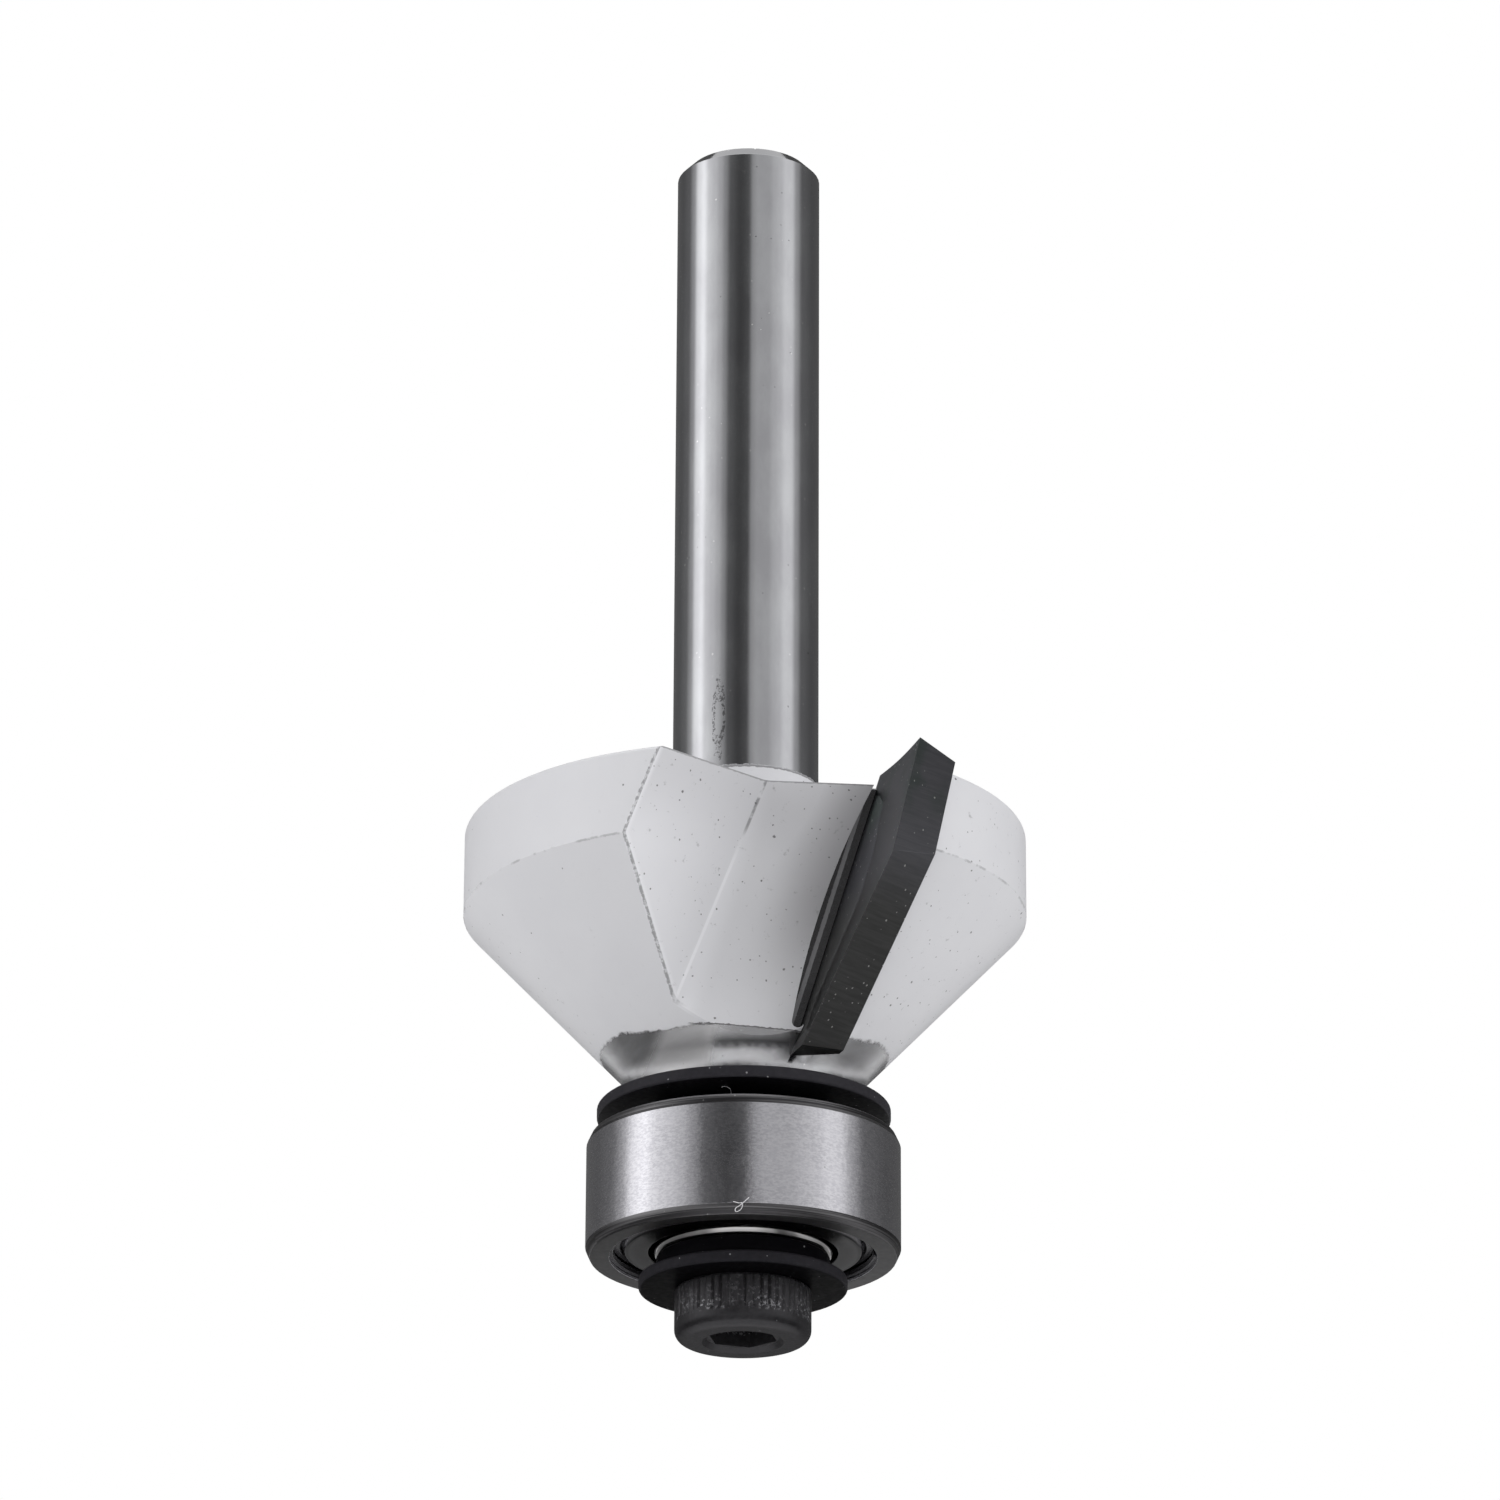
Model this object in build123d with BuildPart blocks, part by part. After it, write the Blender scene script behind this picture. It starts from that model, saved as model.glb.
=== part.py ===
from build123d import *
import os
from math import cos, radians, sin, sqrt, tan

os.makedirs("parts", exist_ok=True)

# All sizes in millimetres, all angles in degrees. The bit turns about Z, and its screw head stands on z = 0.
# The front cutter faces -Y and its rake face looks towards -X: seen from above, the bit cuts clockwise.

# Shank
shank_dia = 6.0
shank_length = 30.1
shank_chamfer = 0.5
shank_root_radius = 1.5

# Carbide cutters. The bevel starts a little inside the pilot's diameter, so the pilot sets the cut.
cutter_count = 2
cutting_dia = 25.0
cutting_land = 5.0
bevel_angle = 45.0
bevel_inset = 0.2
foot_height = 0.89
rake_offset = 1.9
shear_angle = 14.0
cutter_thickness = 1.95
land_relief = 0.37
end_relief = 0.45
corner_rise = 0.37
bevel_relief = 0.4
foot_relief = 0.3
seat_depth = 0.62

# Cutter head, which the cutters overhang at the outside and on top
cutter_projection = 1.0
cutter_overhang = 0.6
cone_clearance_angle = 1.5
head_edge_radius = 0.2
nose_dia = 9.2
nose_height = 0.87
nose_fillet = 1.5
nose_chamfer = 0.15

# Gullet in front of each cutter, its floor and flank set in from the cutting edge
floor_inset = 5.28
floor_foot_inset = 0.942
floor_skew = 13.3
flank_inset = 6.32
flank_skew = 24.3
flank_lean = 22.7
crease_radius = 0.6
groove_depth = 0.45
groove_width = 0.74
groove_mouth = 0.25
groove_end_width = 0.5
groove_end_height = 2.1
groove_widest = 0.6

# Ball bearing, 3/16 by 1/2 inch
bearing_bore = 4.762
bearing_dia = 12.7
bearing_width = 4.978
ball_count = 7
ball_fill = 0.6
ball_clearance = 0.04
outer_race_depth = 0.456
inner_race_depth = 0.436
outer_chamfer_height = 0.4
outer_chamfer_width = 0.18
inner_chamfer = 0.15

# Shields, the wires that hold them, and the ball cage
shield_seat_wall = 0.96
shield_gap = 0.21
shield_sheet = 0.2
shield_depth = 0.45
shield_crown = 0.24
shield_rim_width = 0.42
shield_slope_width = 0.2
wire_width = 0.28
wire_thickness = 0.26
wire_depth = 0.16
wire_groove = 0.14
wire_gap = 12.0
wire_gap_azimuth = -24.0
cage_sheet = 0.2
cage_width = 0.85
cage_clearance = 0.06
seat_clearance = 0.02

# Spacers, washers and screw
upper_washer_inset = 0.4
upper_washer_thickness = 0.5
spacer_inset = 0.11
upper_spacer_length = 0.78
lower_spacer_length = 0.84
lower_washer_dia = 8.4
lower_washer_thickness = 0.5
washer_edge = 0.06
stud_clearance = 0.01
stud_recess = 0.3
stud_chamfer = 0.2
screw_dia = 3.0
screw_length = 8.0
screw_head_dia = 5.5
screw_head_height = 2.15
screw_head_edge = 0.5
screw_hole_clearance = 0.1
thread_clearance = 0.02
tapped_depth = 9.0
drill_point_angle = 118.0
socket_across_flats = 2.5
socket_depth = 1.3
socket_mouth = 0.2

# Heights along the axis, worked out upwards from the screw head
lower_washer_z = screw_head_height
lower_spacer_z = lower_washer_z + lower_washer_thickness
bearing_z = lower_spacer_z + lower_spacer_length
bearing_mid = bearing_z + bearing_width / 2
upper_spacer_z = bearing_z + bearing_width
upper_washer_z = upper_spacer_z + upper_spacer_length
nose_z = upper_washer_z + upper_washer_thickness

# Cutters and head, worked out from the nose and the pilot
cutting_r = cutting_dia / 2
bevel_foot_r = bearing_dia / 2 - bevel_inset
cutting_foot = nose_z + foot_height
corner_z = cutting_foot + (cutting_r - bevel_foot_r) / tan(radians(bevel_angle))
cutting_top = corner_z + cutting_land
head_r = cutting_r - cutter_projection
nose_r = nose_dia / 2
cone_foot = nose_z + nose_height
cone_top = cone_foot + (head_r - nose_r) / tan(radians(bevel_angle - cone_clearance_angle))
head_top = cutting_top - cutter_overhang
floor_top_offset = cutting_r - floor_inset
floor_foot_offset = bevel_foot_r - floor_foot_inset
floor_slope = (floor_top_offset - floor_foot_offset) / (head_top - cutting_foot)
shank_r = shank_dia / 2
shank_end = head_top + shank_length

# Bearing, worked out from its bore and outer diameter
outer_r = bearing_dia / 2
bore_r = bearing_bore / 2
half_width = bearing_width / 2
pitch_r = (bore_r + outer_r) / 2
ball_r = ball_fill * (outer_r - bore_r) / 2
race_r = ball_r + ball_clearance
outer_land_r = pitch_r + ball_r - outer_race_depth
inner_land_r = pitch_r - ball_r + inner_race_depth
shield_seat_r = outer_r - shield_seat_wall
stud_r = bore_r - stud_clearance

rake_plane = Plane(
    origin=(rake_offset, 0, corner_z),
    x_dir=(0, 1, 0),
    z_dir=(cos(radians(shear_angle)), 0, -sin(radians(shear_angle))),
)
bearing_section = Plane(origin=(0, 0, bearing_mid), x_dir=(1, 0, 0), z_dir=(0, -1, 0))


def save(piece, label):
    """Label one finished piece and write its STEP file."""
    piece.part.label = label
    export_step(piece.part, f"parts/{label}.step")


def rake_x(height):
    """X of the rake plane at a height."""
    return rake_offset + tan(radians(shear_angle)) * (height - corner_z)


def floor_y(x, height, deeper=0.0):
    """Y of the gullet's floor plane, or of one parallel to it and further in."""
    top_y = deeper - floor_top_offset - tan(radians(floor_skew)) * x
    return top_y + floor_slope * (head_top - height)


def flank_y(x, height):
    """Y of the gullet's long flank, which runs out at the head's outside."""
    top_y = flank_inset - cutting_r + tan(radians(flank_skew)) * x
    return top_y + tan(radians(flank_lean)) * (head_top - height)


def gullet_outline(height, deeper=0.0):
    """Plan of the gullet at a height: along the flank, the floor and the rake plane."""
    skew_sum = tan(radians(flank_skew)) + tan(radians(floor_skew))
    crease_x = (floor_y(0, height, deeper) - flank_y(0, height)) / skew_sum
    clear = cutting_dia
    return [
        (crease_x - clear, flank_y(crease_x - clear, height)),
        (crease_x, floor_y(crease_x, height, deeper)),
        (rake_x(height), floor_y(rake_x(height), height, deeper)),
        (rake_x(height), -clear),
        (crease_x - clear, -clear),
    ]


def up_plate(height, behind=0.0):
    """Distance up the rake plane, or up one behind it, at which it reaches a height."""
    rise = height - corner_z + behind * sin(radians(shear_angle))
    return rise / cos(radians(shear_angle))


def on_plate(radius, height, behind=0.0):
    """A point of the cutter at a radius and height, as (x, y) in the rake plane or in one behind it."""
    x = rake_x(height) + behind / cos(radians(shear_angle))
    return (-sqrt(radius**2 - x**2), up_plate(height, behind))


def on_inner_edge(height, behind=0.0):
    """A point of the cutter's inner edge, which runs along the gullet's floor at the seat's depth."""
    return (floor_y(rake_x(height), height, seat_depth), up_plate(height, behind))


# Carbide cutters: the rake face and the smaller back face, joined by flat relief faces
rake_face = [
    on_inner_edge(cutting_top),
    on_plate(cutting_r, cutting_top),
    on_plate(cutting_r, corner_z),
    on_plate(bevel_foot_r, cutting_foot),
    on_inner_edge(cutting_foot),
]
back_face = [
    on_inner_edge(cutting_top - end_relief, cutter_thickness),
    on_plate(cutting_r - land_relief, cutting_top - end_relief, cutter_thickness),
    on_plate(cutting_r - land_relief, corner_z + corner_rise, cutter_thickness),
    on_plate(bevel_foot_r - bevel_relief, cutting_foot + foot_relief, cutter_thickness),
    on_inner_edge(cutting_foot + foot_relief, cutter_thickness),
]

with BuildPart() as front_cutter:
    with BuildSketch(rake_plane):
        with BuildLine():
            Polyline(*rake_face, close=True)
        make_face()
    with BuildSketch(rake_plane.offset(cutter_thickness)):
        with BuildLine():
            Polyline(*back_face, close=True)
        make_face()
    loft(ruled=True)
save(front_cutter, "front_cutter")

with BuildPart() as rear_cutter:
    add(front_cutter.part.rotate(Axis.Z, 360 / cutter_count))
save(rear_cutter, "rear_cutter")

# Gullet and the narrow ground groove at the foot of the rake face, as the shapes that are milled away
crease_foot = Vector(*gullet_outline(nose_z)[1], nose_z)
crease_top = Vector(*gullet_outline(cutting_top)[1], cutting_top)

with BuildPart() as gullet:
    for height in (nose_z, cutting_top):
        with BuildSketch(Plane.XY.offset(height)):
            with BuildLine():
                Polyline(*gullet_outline(height), close=True)
            make_face()
    loft(ruled=True)
    crease = gullet.edges().sort_by_distance((crease_foot + crease_top) * 0.5)[0]
    fillet(crease, radius=crease_radius)

groove_foot = nose_z + groove_end_height
groove_mid = groove_foot + groove_widest * (head_top - groove_foot)

with BuildPart() as groove:
    for height in (nose_z, cutting_top):
        with BuildSketch(Plane.XY.offset(height)):
            with BuildLine():
                Polyline(*gullet_outline(height, groove_depth), close=True)
            make_face()
    loft(ruled=True)
    with BuildSketch(Plane.XZ):
        with BuildLine():
            ThreePointArc(
                (rake_x(groove_foot) - groove_end_width, groove_foot),
                (rake_x(groove_mid) - groove_width, groove_mid),
                (rake_x(head_top) - groove_mouth, head_top),
            )
            Line(
                (rake_x(head_top) - groove_mouth, head_top),
                (rake_x(head_top), head_top),
            )
            Line((rake_x(head_top), head_top), (rake_x(groove_foot), groove_foot))
            ThreePointArc(
                (rake_x(groove_foot), groove_foot),
                (rake_x(groove_foot) - groove_end_width / 2, groove_foot - groove_end_width / 2),
                (rake_x(groove_foot) - groove_end_width, groove_foot),
            )
        make_face()
    extrude(amount=cutting_dia, mode=Mode.INTERSECT)

# Body: shank, head, nose and stud turned in one, then the gullets, grooves and cutter seats
stud_end = bearing_z + stud_recess
tap_r = screw_dia / 2
tap_end = stud_end + tapped_depth
drill_point = tap_end + tap_r / tan(radians(drill_point_angle / 2))

with BuildPart() as bit_body:
    with BuildSketch(Plane.XZ):
        with BuildLine():
            Polyline(
                (0, shank_end),
                (shank_r - shank_chamfer, shank_end),
                (shank_r, shank_end - shank_chamfer),
                (shank_r, head_top + shank_root_radius),
            )
            RadiusArc(
                (shank_r, head_top + shank_root_radius),
                (shank_r + shank_root_radius, head_top),
                -shank_root_radius,
            )
            Polyline(
                (shank_r + shank_root_radius, head_top),
                (head_r - head_edge_radius, head_top),
            )
            RadiusArc(
                (head_r - head_edge_radius, head_top),
                (head_r, head_top - head_edge_radius),
                head_edge_radius,
            )
            Polyline(
                (head_r, head_top - head_edge_radius),
                (head_r, cone_top),
                (nose_r, cone_foot),
                (nose_r, nose_z + nose_chamfer),
                (nose_r - nose_chamfer, nose_z),
                (stud_r, nose_z),
                (stud_r, stud_end + stud_chamfer),
                (stud_r - stud_chamfer, stud_end),
                (tap_r, stud_end),
                (tap_r, tap_end),
                (0, drill_point),
                (0, shank_end),
            )
        make_face()
    revolve(axis=Axis.Z)
    fillet(bit_body.edges().sort_by_distance((0, nose_r, cone_foot))[0], radius=nose_fillet)
    for turn in range(cutter_count):
        angle = turn * 360 / cutter_count
        add(gullet.part.rotate(Axis.Z, angle), mode=Mode.SUBTRACT)
        add(groove.part.rotate(Axis.Z, angle), mode=Mode.SUBTRACT)
        add(front_cutter.part.rotate(Axis.Z, angle), mode=Mode.SUBTRACT)
save(bit_body, "bit_body")


def ring_profile(inner_r, outer_r, low, high, edge):
    """Half section of a flat ring with its four edges broken."""
    return [
        (inner_r + edge, low),
        (outer_r - edge, low),
        (outer_r, low + edge),
        (outer_r, high - edge),
        (outer_r - edge, high),
        (inner_r + edge, high),
        (inner_r, high - edge),
        (inner_r, low + edge),
    ]


# Washers and spacers between the nose, the bearing's inner ring and the screw head
screw_hole_r = screw_dia / 2 + screw_hole_clearance
collar_bore_r = stud_r + seat_clearance
upper_washer_r = outer_r - upper_washer_inset
spacer_r = inner_land_r - spacer_inset
lower_washer_r = lower_washer_dia / 2

with BuildPart() as upper_washer:
    with BuildSketch(Plane.XZ):
        with BuildLine():
            Polyline(
                *ring_profile(collar_bore_r, upper_washer_r, upper_washer_z, nose_z, washer_edge),
                close=True,
            )
        make_face()
    revolve(axis=Axis.Z)
save(upper_washer, "upper_washer")

with BuildPart() as upper_spacer:
    with BuildSketch(Plane.XZ):
        with BuildLine():
            Polyline(
                *ring_profile(collar_bore_r, spacer_r, upper_spacer_z, upper_washer_z, washer_edge),
                close=True,
            )
        make_face()
    revolve(axis=Axis.Z)
save(upper_spacer, "upper_spacer")

with BuildPart() as lower_spacer:
    with BuildSketch(Plane.XZ):
        with BuildLine():
            Polyline(
                *ring_profile(screw_hole_r, spacer_r, lower_spacer_z, bearing_z, washer_edge),
                close=True,
            )
        make_face()
    revolve(axis=Axis.Z)
save(lower_spacer, "lower_spacer")

with BuildPart() as lower_washer:
    with BuildSketch(Plane.XZ):
        with BuildLine():
            Polyline(
                *ring_profile(screw_hole_r, lower_washer_r, lower_washer_z, lower_spacer_z, washer_edge),
                close=True,
            )
        make_face()
    revolve(axis=Axis.Z)
save(lower_washer, "lower_washer")

# Socket head cap screw
screw_r = screw_dia / 2 - thread_clearance
screw_end = lower_washer_z + screw_length
socket_r = socket_across_flats / 2
socket_corner_r = socket_r / cos(radians(30))

with BuildPart() as cap_screw:
    with BuildSketch(Plane.XZ):
        with BuildLine():
            Polyline((0, 0), (screw_head_dia / 2 - screw_head_edge, 0))
            RadiusArc(
                (screw_head_dia / 2 - screw_head_edge, 0),
                (screw_head_dia / 2, screw_head_edge),
                -screw_head_edge,
            )
            Polyline(
                (screw_head_dia / 2, screw_head_edge),
                (screw_head_dia / 2, screw_head_height),
                (screw_r, screw_head_height),
                (screw_r, screw_end - stud_chamfer),
                (screw_r - stud_chamfer, screw_end),
                (0, screw_end),
                (0, 0),
            )
        make_face()
    revolve(axis=Axis.Z)
    with BuildSketch(Plane.XY):
        RegularPolygon(radius=socket_corner_r, side_count=6)
    extrude(amount=socket_depth, mode=Mode.SUBTRACT)
    with BuildSketch(Plane.XZ):
        with BuildLine():
            Polyline(
                (0, 0),
                (socket_corner_r + socket_mouth, 0),
                (socket_corner_r, socket_mouth),
                (0, socket_mouth),
                close=True,
            )
        make_face()
    revolve(axis=Axis.Z, mode=Mode.SUBTRACT)
    with BuildSketch(Plane.XZ):
        with BuildLine():
            Polyline(
                (0, socket_depth),
                (socket_r, socket_depth),
                (0, socket_depth + socket_r / tan(radians(drill_point_angle / 2))),
                close=True,
            )
        make_face()
    revolve(axis=Axis.Z, mode=Mode.SUBTRACT)
save(cap_screw, "cap_screw")

# Bearing rings, each with its ball race as an arc about the ball's centre
outer_race_half = sqrt(race_r**2 - (outer_land_r - pitch_r) ** 2)
inner_race_half = sqrt(race_r**2 - (pitch_r - inner_land_r) ** 2)
wire_mid = half_width - wire_depth - wire_thickness / 2
wire_low = half_width - shield_depth
shield_low = wire_low - shield_sheet


def outer_end(side):
    """Outline of one end of the outer ring, from its race out to the chamfer."""
    return [
        (outer_land_r, side * outer_race_half),
        (outer_land_r, side * shield_low),
        (shield_seat_r, side * shield_low),
        (shield_seat_r, side * wire_low),
        (shield_seat_r + wire_groove, side * wire_low),
        (shield_seat_r + wire_groove, side * (half_width - wire_depth)),
        (shield_seat_r, side * (half_width - wire_depth)),
        (shield_seat_r, side * half_width),
        (outer_r - outer_chamfer_width, side * half_width),
        (outer_r, side * (half_width - outer_chamfer_height)),
    ]


with BuildPart() as outer_ring:
    with BuildSketch(bearing_section):
        with BuildLine():
            ThreePointArc(
                (outer_land_r, -outer_race_half),
                (pitch_r + race_r, 0),
                (outer_land_r, outer_race_half),
            )
            Polyline(*outer_end(1), *reversed(outer_end(-1)))
        make_face()
    revolve(axis=Axis.Z)
save(outer_ring, "outer_ring")

with BuildPart() as inner_ring:
    with BuildSketch(bearing_section):
        with BuildLine():
            ThreePointArc(
                (inner_land_r, -inner_race_half),
                (pitch_r - race_r, 0),
                (inner_land_r, inner_race_half),
            )
            Polyline(
                (inner_land_r, inner_race_half),
                (inner_land_r, half_width - inner_chamfer),
                (inner_land_r - inner_chamfer, half_width),
                (bore_r + inner_chamfer, half_width),
                (bore_r, half_width - inner_chamfer),
                (bore_r, inner_chamfer - half_width),
                (bore_r + inner_chamfer, -half_width),
                (inner_land_r - inner_chamfer, -half_width),
                (inner_land_r, inner_chamfer - half_width),
                (inner_land_r, -inner_race_half),
            )
        make_face()
    revolve(axis=Axis.Z)
save(inner_ring, "inner_ring")

# Pressed shields and their wire rings, one of each at both ends of the bearing
shield_rim_r = shield_seat_r - seat_clearance
shield_inner_r = inner_land_r + shield_gap
dish_r = shield_rim_r - shield_rim_width
crown_r = dish_r - shield_slope_width
wire_r = shield_seat_r + wire_groove - seat_clearance - wire_width / 2
wire_start = radians(wire_gap_azimuth + wire_gap / 2)

for side, place in ((-1, "lower"), (1, "upper")):
    with BuildPart() as shield:
        with BuildSketch(bearing_section):
            with BuildLine():
                Polyline(
                    (shield_rim_r, side * wire_low),
                    (dish_r, side * wire_low),
                    (crown_r, side * (wire_low + shield_crown)),
                    (shield_inner_r, side * (wire_low + shield_crown)),
                    (shield_inner_r, side * (shield_low + shield_crown)),
                    (crown_r - shield_sheet / 2, side * (shield_low + shield_crown)),
                    (dish_r - shield_sheet / 2, side * shield_low),
                    (shield_rim_r, side * shield_low),
                    close=True,
                )
            make_face()
        revolve(axis=Axis.Z)
    save(shield, f"{place}_shield")

    wire_plane = Plane(
        origin=(0, 0, bearing_mid),
        x_dir=(cos(wire_start), sin(wire_start), 0),
        z_dir=(sin(wire_start), -cos(wire_start), 0),
    )
    with BuildPart() as snap_ring:
        with BuildSketch(wire_plane):
            with Locations((wire_r, side * wire_mid)):
                Rectangle(wire_width, wire_thickness)
        revolve(axis=Axis.Z, revolution_arc=360 - wire_gap)
    save(snap_ring, f"{place}_snap_ring")

# Ribbon cage: two pressed halves that meet between the balls, each ribbon arching over every ball
cage_inner_r = pitch_r - cage_width / 2
cage_outer_r = pitch_r + cage_width / 2
pocket_r = ball_r + cage_clearance

for side, place in ((-1, "lower"), (1, "upper")):
    with BuildPart() as cage:
        with BuildSketch(Plane.XY.offset(bearing_mid)):
            Circle(cage_outer_r)
            Circle(cage_inner_r, mode=Mode.SUBTRACT)
        extrude(amount=side * cage_sheet)
        with Locations((0, 0, bearing_mid)):
            with PolarLocations(pitch_r, ball_count):
                Cylinder(pocket_r + cage_sheet, cage_width, rotation=(0, 90, 0))
        with BuildSketch(Plane.XY.offset(bearing_mid)):
            Circle(cage_outer_r)
            Circle(cage_inner_r, mode=Mode.SUBTRACT)
        extrude(amount=side * half_width, mode=Mode.INTERSECT)
        with Locations((0, 0, bearing_mid)):
            with PolarLocations(pitch_r, ball_count):
                Cylinder(pocket_r, 2 * cage_width, rotation=(0, 90, 0), mode=Mode.SUBTRACT)
    save(cage, f"cage_{place}")

for number in range(ball_count):
    turn = radians(number * 360 / ball_count)
    with BuildPart() as ball:
        with Locations((pitch_r * cos(turn), pitch_r * sin(turn), bearing_mid)):
            Sphere(ball_r)
    save(ball, f"ball_{number + 1}")
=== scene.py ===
import math
import random

import bmesh
import bpy
from mathutils import Matrix, Vector


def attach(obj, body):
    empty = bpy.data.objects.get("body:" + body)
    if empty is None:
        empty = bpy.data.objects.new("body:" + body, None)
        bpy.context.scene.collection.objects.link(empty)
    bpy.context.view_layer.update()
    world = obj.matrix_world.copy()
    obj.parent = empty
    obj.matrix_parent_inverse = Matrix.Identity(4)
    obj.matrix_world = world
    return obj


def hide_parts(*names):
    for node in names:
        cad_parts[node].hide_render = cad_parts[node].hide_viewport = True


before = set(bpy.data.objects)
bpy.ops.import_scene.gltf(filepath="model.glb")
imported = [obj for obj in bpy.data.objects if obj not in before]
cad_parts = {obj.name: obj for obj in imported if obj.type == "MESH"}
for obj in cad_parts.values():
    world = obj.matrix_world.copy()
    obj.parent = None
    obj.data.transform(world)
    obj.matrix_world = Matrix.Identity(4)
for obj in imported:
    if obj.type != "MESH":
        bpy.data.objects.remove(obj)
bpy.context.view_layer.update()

MM = 0.001

# Camera, as the photograph was taken: from a little left and from below
CAMERA_AZIMUTH = -19.1
CAMERA_ELEVATION = -20.62
CAMERA_DISTANCE = 296.2
CAMERA_TARGET = (0.166, -0.058, 25.312)
CAMERA_ROLL = 0.28
CAMERA_LENS = 172.46
CAMERA_CLIP = (0.01, 5)
SENSOR_WIDTH = 36

# Studio
AMBIENT_LEVEL = 0.3
FLOOR_CORE = 0.5
FLOOR_RADIUS = 1400
FLOOR_OPEN = 2.8
FLOOR_FADE = (120, 600)
FLOOR_SHADE = 0.85
FLOOR_BANDS_FADE = (22, 90)
# Brightness of the floor near the bit as metal mirrors it, by degrees to the right of the camera
FLOOR_BANDS = [
    (-180, 0.25),
    (-80, 0.18),
    (-45, 0.30),
    (-24, 0.95),
    (10, 1.00),
    (28, 0.60),
    (44, 0.12),
    (58, 0.20),
    (72, 0.60),
    (110, 0.30),
]
SURROUND_RADIUS = 600
SURROUND_HEIGHTS = (-450, 750)
# Brightness round the object, by degrees to the right of the camera
SURROUND_BANDS = [
    (-180, 0.12),
    (-135, 0.11),
    (-112, 0.16),
    (-99, 0.42),
    (-88, 1.15),
    (-77, 1.40),
    (-67, 0.94),
    (-56, 0.78),
    (-46, 0.60),
    (-37, 0.36),
    (-29, 0.13),
    (-12, 0.07),
    (1, 0.10),
    (8, 0.40),
    (16, 0.49),
    (34, 0.50),
    (44, 0.62),
    (53, 0.70),
    (64, 0.90),
    (75, 0.88),
    (86, 0.43),
    (99, 0.15),
    (130, 0.10),
]
# Lamps: degrees to the right of the camera, elevation, distance, width, height and radiance
LAMPS = {
    "left_box": (-68, 20, 520, 300, 560, 2.8),
    "right_box": (62, 20, 520, 420, 560, 2.35),
    "top_box": (180, 80, 560, 500, 500, 2.1),
}

# Forms of the bit, as in the solids, in millimetres and degrees
SHANK_R = 3.0
SHANK_END = 51.488
HEAD_R = 11.5
HEAD_TOP = 21.388
CONE_TOP = 17.889
CONE_ANGLE = 43.5
CORNER_Z = 16.988
RAKE_OFFSET = 1.9
SHEAR = 14.0
FLOOR_SKEW = 13.3
FLOOR_SLOPE = 0.18716
FLOOR_OFFSET = 7.22
FLANK_SKEW = 24.3
FLANK_LEAN = 22.7
FLANK_OFFSET = 6.18
GROOVE_DEPTH = 0.45
BEARING_MID = 5.979
BEARING_HALF = 2.489
OUTER_R = 6.35
CHAMFER_HEIGHT = 0.4
WASHER_R = 5.95
WASHER_UNDERSIDE = 9.248
LOWER_WASHER_R = 4.2

# Widths of the rounded edges
BODY_EDGE = 0.08
CUTTER_EDGE = 0.02
WASHER_EDGE = 0.03
LOWER_WASHER_EDGE = 0.05
INNER_RING_EDGE = 0.16
OUTER_RING_EDGE = 0.03
SHIELD_EDGE = 0.03
SNAP_RING_EDGE = 0.04
CAGE_EDGE = 0.02

# Cap screw, whose head stands at height 0
SCREW_HEAD_R = 2.75
SCREW_EDGE = 0.5
SCREW_EDGE_STEPS = 8
SCREW_HEAD_HEIGHT = 2.15
SCREW_R = 1.48
SCREW_END = 10.15
SOCKET_FLAT_R = 1.25
SOCKET_DEPTH = 1.3
SOCKET_MOUTH = 0.2
DRILL_ANGLE = 59
RIBS = 52
RIB_DEPTH = 0.08
RIB_FOOT = 0.72
RIB_STEPS = 4
THREAD_PITCH = 0.5
THREAD_DEPTH = 0.27
THREAD_STEPS = 8
THREAD_GAP = 0.3

# Carbide cutters: outlines of the rake face and the back face, from the inner top round by the tip,
# the corner and the foot to the inner foot
RAKE_CORNERS = [
    (3.15, -7.46, 21.99),
    (3.15, -12.10, 21.99),
    (1.90, -12.35, 16.99),
    (0.32, -6.14, 10.64),
    (0.32, -4.66, 10.64),
]
BACK_CORNERS = [
    (5.04, -7.35, 21.54),
    (5.04, -11.03, 21.54),
    (4.00, -11.45, 17.36),
    (2.40, -5.22, 10.94),
    (2.40, -4.74, 10.94),
]
SIDE_STEPS = (10, 8, 26, 6, 26)
THICKNESS_STEPS = 4
TOP_SAG = 0.1
BACK_SAG = 0.06
FIELD_SINK = 0.04
FIELD_EDGE = 0.05
# Where the duller field of the rake face ends, as (Y, Z) from its top to its foot
FIELD_LINE = [(-8.07, 20.94), (-8.99, 20.26), (-9.46, 17.76), (-9.14, 15.96), (-6.43, 12.50), (-6.13, 11.30)]
FIELD_TOP = (-7.2, 21.05)
FIELD_FOOT = (-4.8, 11.25)

# Where the paint ends: a height on the shank, a radius on the nose, a sloping line in the gullets
PAINT_TOP = 23.55
PAINT_FOOT_R = 5.85
PAINT_FOOT_Z = 11.45
PAINT_FOOT_SLOPE = 0.0535

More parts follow.
